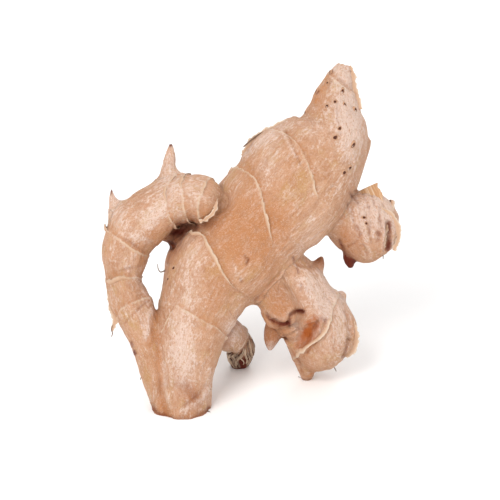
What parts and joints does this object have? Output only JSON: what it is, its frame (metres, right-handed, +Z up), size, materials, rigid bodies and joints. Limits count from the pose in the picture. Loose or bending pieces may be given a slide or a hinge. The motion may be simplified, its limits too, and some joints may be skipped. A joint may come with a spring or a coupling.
{
  "type": "ginger root",
  "caption": "Knobbly fresh ginger root standing on its cut foot, with a curled finger at the left, a tapering upper joint, round side lobes and a fibrous stub behind.",
  "frame": {"origin": "middle of the root's box in X and Y, on the floor that the root stands on", "axes": "+Z up, -Y the front, from which all the lobes are seen spread out, +X to the right of that view"},
  "size_m": [0.1189, 0.0758, 0.1244],
  "materials": {
    "skin": "thin dry papery skin, matt with a slight sheen"
  },
  "bodies": {
    "root": {"rhizome": "skin"}
  },
  "joints": []
}
